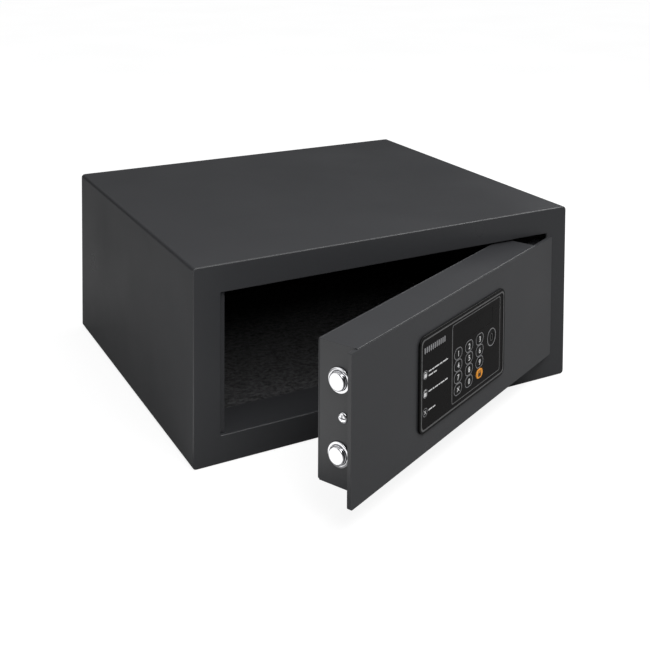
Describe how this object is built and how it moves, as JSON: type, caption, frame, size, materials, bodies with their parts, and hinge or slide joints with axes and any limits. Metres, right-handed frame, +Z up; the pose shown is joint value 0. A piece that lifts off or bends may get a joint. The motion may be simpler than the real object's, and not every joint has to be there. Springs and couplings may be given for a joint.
{
  "type": "in-room hotel safe",
  "caption": "Steel in-room safe with a keypad door on gooseneck hinges, motor-driven round bolts and a carpeted floor, shown with the door part open.",
  "frame": {"origin": "centre of the body's footprint on the plane it stands on", "axes": "+Z up, the front with the door faces -Y, +X to the right seen from the front"},
  "size_m": [0.43, 0.546, 0.186],
  "materials": {
    "graphite_coat": "fine-textured anthracite powder coat",
    "black_coat": "satin black powder coat",
    "carpet": "needle-felt carpet, charcoal",
    "chrome": "polished",
    "zinc_steel": "bright zinc plate",
    "gloss_black": "glossy black",
    "black_plastic": "fine moulded texture",
    "orange_plastic": "satin orange",
    "smoked_glass": "smoked display window",
    "board_green": "solder-masked laminate",
    "cell_jacket": "printed jacket, no lettering",
    "brass": "machined",
    "silicone": "moulded"
  },
  "bodies": {
    "body": {"body_shell": "graphite_coat", "back_panel": "graphite_coat", "sill_channel": "black_coat", "head_channel": "black_coat", "strike_channel": "black_coat", "carpet_mat": "carpet", "hinge_bracket_upper": "zinc_steel", "hinge_bracket_lower": "zinc_steel", "hinge_pin_upper": "zinc_steel", "hinge_pin_lower": "zinc_steel"},
    "door": {"door_plate": "graphite_coat", "door_box": "graphite_coat", "rear_cover": "graphite_coat", "rear_cover_screw_1": "chrome", "rear_cover_screw_2": "chrome", "rear_cover_screw_3": "chrome", "rear_cover_screw_4": "chrome", "edge_screw": "chrome", "hinge_arm_upper": "black_coat", "hinge_arm_lower": "black_coat", "keypad_housing": "gloss_black", "keypad_overlay": "gloss_black", "display_window": "smoked_glass", "lcd_module": "black_plastic", "circuit_board": "board_green", "dome_sheet": "silicone", "bolt_ring_upper": "chrome", "bolt_ring_lower": "chrome", "guide_stud_upper": "zinc_steel", "guide_stud_lower": "zinc_steel", "gear_motor": "black_plastic", "bolt_switch": "black_plastic", "override_housing": "black_coat", "battery_holder": "black_plastic", "battery_cell_1": "cell_jacket", "battery_cell_2": "cell_jacket", "battery_cell_3": "cell_jacket", "battery_cell_4": "cell_jacket", "motor_cable": "black_plastic"},
    "bolt_work": {"bolt_upper": "chrome", "bolt_lower": "chrome", "bolt_carriage": "zinc_steel", "drive_rack": "zinc_steel"},
    "pinion": {"drive_pinion": "brass"},
    "override_key_plug": {"override_plug": "black_coat", "override_cam": "zinc_steel"},
    "battery_lid": {"battery_cover": "black_plastic"},
    "key_1": {"key_1": "black_plastic"},
    "key_2": {"key_2": "black_plastic"},
    "key_3": {"key_3": "black_plastic"},
    "key_4": {"key_4": "black_plastic"},
    "key_5": {"key_5": "black_plastic"},
    "key_6": {"key_6": "black_plastic"},
    "key_7": {"key_7": "black_plastic"},
    "key_8": {"key_8": "black_plastic"},
    "key_9": {"key_9": "black_plastic"},
    "key_clear": {"key_clear": "black_plastic"},
    "key_0": {"key_0": "black_plastic"},
    "key_lock": {"key_lock": "orange_plastic"}
  },
  "joints": [
    {"name": "door_hinge", "type": "hinge", "parent": "body", "child": "door", "pos_m": [0.201, -0.182, 0.093], "axis": [0, 0, 1], "range_deg": [-25.6, 74.4]},
    {"name": "bolt_slide", "type": "slide", "parent": "door", "child": "bolt_work", "axis": [-0.9018, -0.4321, 0], "range_m": [0, 0.016]},
    {"name": "pinion_turn", "type": "hinge", "parent": "door", "child": "pinion", "pos_m": [-0.07539, -0.2948, 0.0885], "axis": [0.4321, -0.9018, 0], "range_deg": [0, 122.3]},
    {"name": "override_turn", "type": "hinge", "parent": "door", "child": "override_key_plug", "pos_m": [0.06575, -0.25567, 0.0938], "axis": [-0.4321, 0.9018, 0], "range_deg": [0, 90]},
    {"name": "battery_lid_slide", "type": "slide", "parent": "door", "child": "battery_lid", "axis": [-0.9018, -0.4321, 0], "range_m": [0, 0.056]},
    {"name": "key_1_press", "type": "slide", "parent": "door", "child": "key_1", "axis": [-0.4321, 0.9018, 0], "range_m": [0, 0.0008]},
    {"name": "key_2_press", "type": "slide", "parent": "door", "child": "key_2", "axis": [-0.4321, 0.9018, 0], "range_m": [0, 0.0008]},
    {"name": "key_3_press", "type": "slide", "parent": "door", "child": "key_3", "axis": [-0.4321, 0.9018, 0], "range_m": [0, 0.0008]},
    {"name": "key_4_press", "type": "slide", "parent": "door", "child": "key_4", "axis": [-0.4321, 0.9018, 0], "range_m": [0, 0.0008]},
    {"name": "key_5_press", "type": "slide", "parent": "door", "child": "key_5", "axis": [-0.4321, 0.9018, 0], "range_m": [0, 0.0008]},
    {"name": "key_6_press", "type": "slide", "parent": "door", "child": "key_6", "axis": [-0.4321, 0.9018, 0], "range_m": [0, 0.0008]},
    {"name": "key_7_press", "type": "slide", "parent": "door", "child": "key_7", "axis": [-0.4321, 0.9018, 0], "range_m": [0, 0.0008]},
    {"name": "key_8_press", "type": "slide", "parent": "door", "child": "key_8", "axis": [-0.4321, 0.9018, 0], "range_m": [0, 0.0008]},
    {"name": "key_9_press", "type": "slide", "parent": "door", "child": "key_9", "axis": [-0.4321, 0.9018, 0], "range_m": [0, 0.0008]},
    {"name": "key_clear_press", "type": "slide", "parent": "door", "child": "key_clear", "axis": [-0.4321, 0.9018, 0], "range_m": [0, 0.0008]},
    {"name": "key_0_press", "type": "slide", "parent": "door", "child": "key_0", "axis": [-0.4321, 0.9018, 0], "range_m": [0, 0.0008]},
    {"name": "key_lock_press", "type": "slide", "parent": "door", "child": "key_lock", "axis": [-0.4321, 0.9018, 0], "range_m": [0, 0.0008]}
  ],
  "couplings": [
    {"joint": "pinion_turn", "follows": "bolt_slide", "rad_per_m": 133.33}
  ]
}
